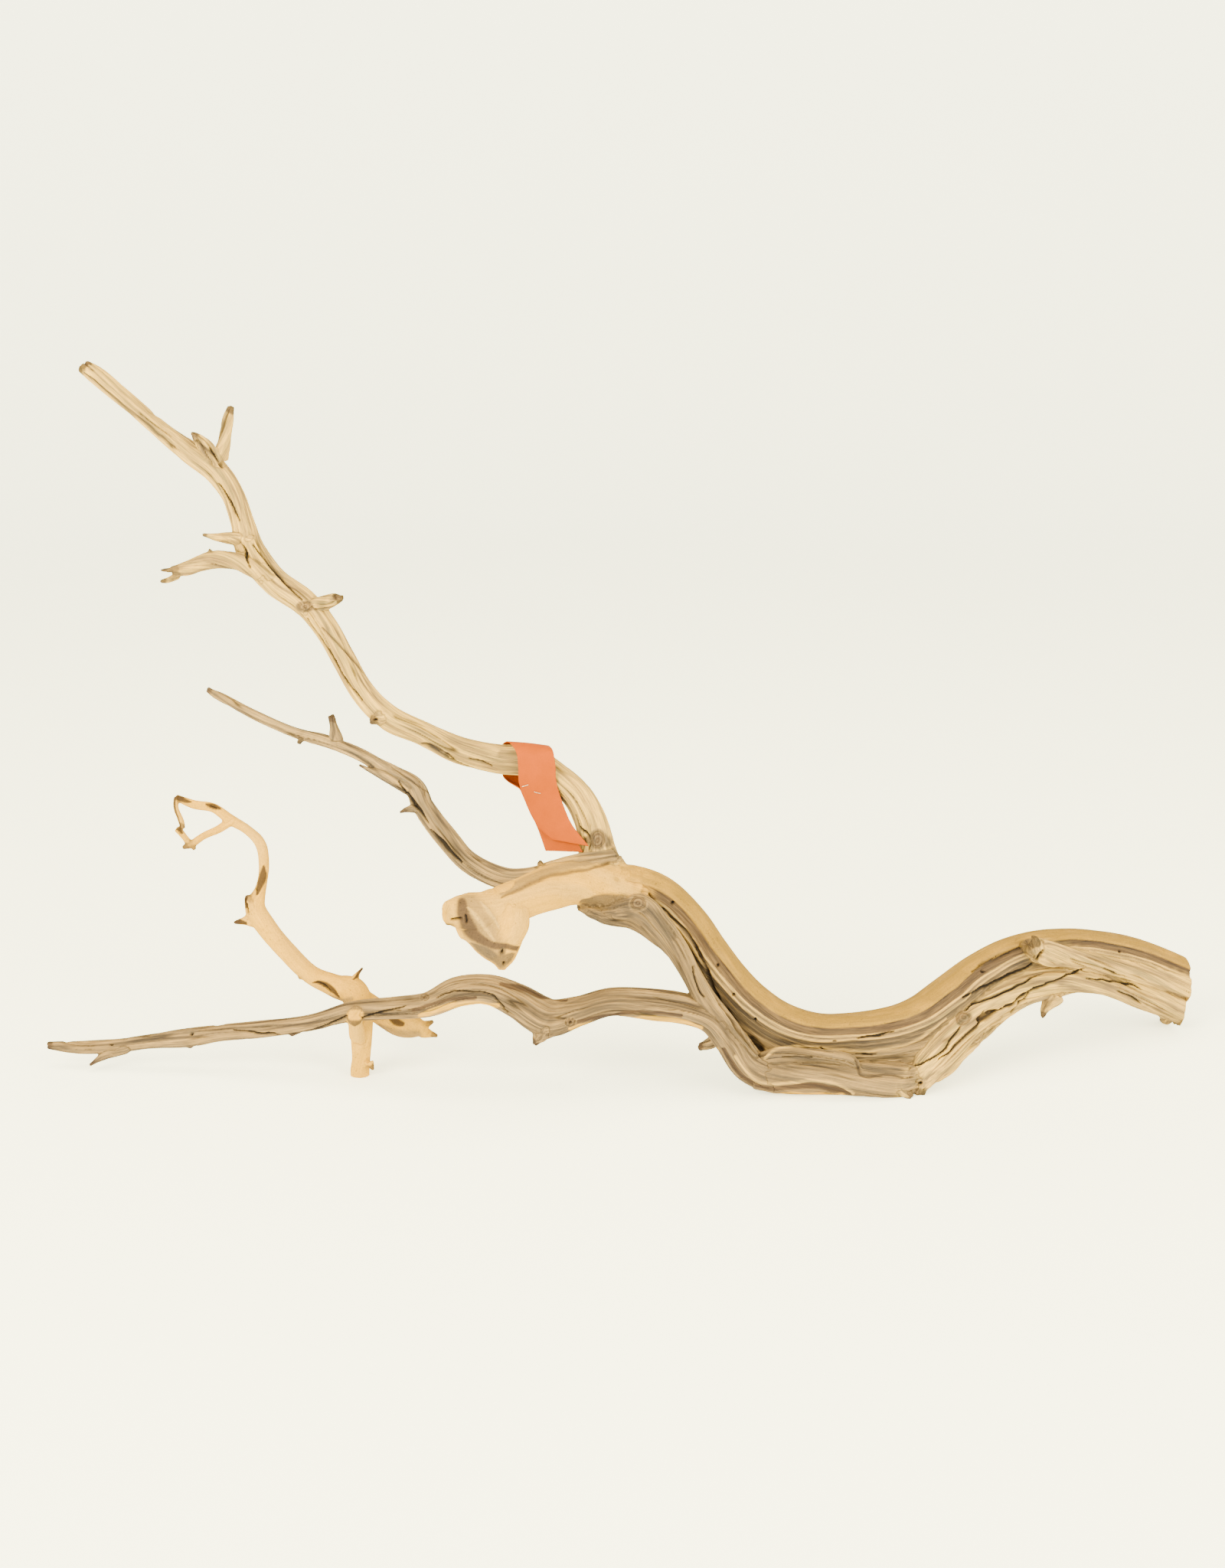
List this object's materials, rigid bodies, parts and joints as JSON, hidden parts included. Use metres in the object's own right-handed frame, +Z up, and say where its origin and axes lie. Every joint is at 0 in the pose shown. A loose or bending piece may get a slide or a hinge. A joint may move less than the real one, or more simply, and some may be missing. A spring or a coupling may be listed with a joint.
{
  "type": "ghost wood branch",
  "caption": "Dry, sand-blasted branch with a ridged, bent trunk and forking bare limbs that taper to broken tips, lying on its low points, with a plain card band stapled round a limb.",
  "frame": {"origin": "middle of the footprint, on the surface that the branch rests on", "axes": "+X along the length, from the low limb's tip to the trunk's broken end; +Z up; the side that shows faces -Y"},
  "size_m": [0.8172, 0.207, 0.4843],
  "materials": {
    "dry_wood": "matte, sand-blasted",
    "orange_card": "matte card",
    "staple_steel": "satin wire"
  },
  "bodies": {
    "root": {"ghost_wood": "dry_wood", "card_band": "orange_card", "staple_left": "staple_steel", "staple_right": "staple_steel"}
  },
  "joints": []
}
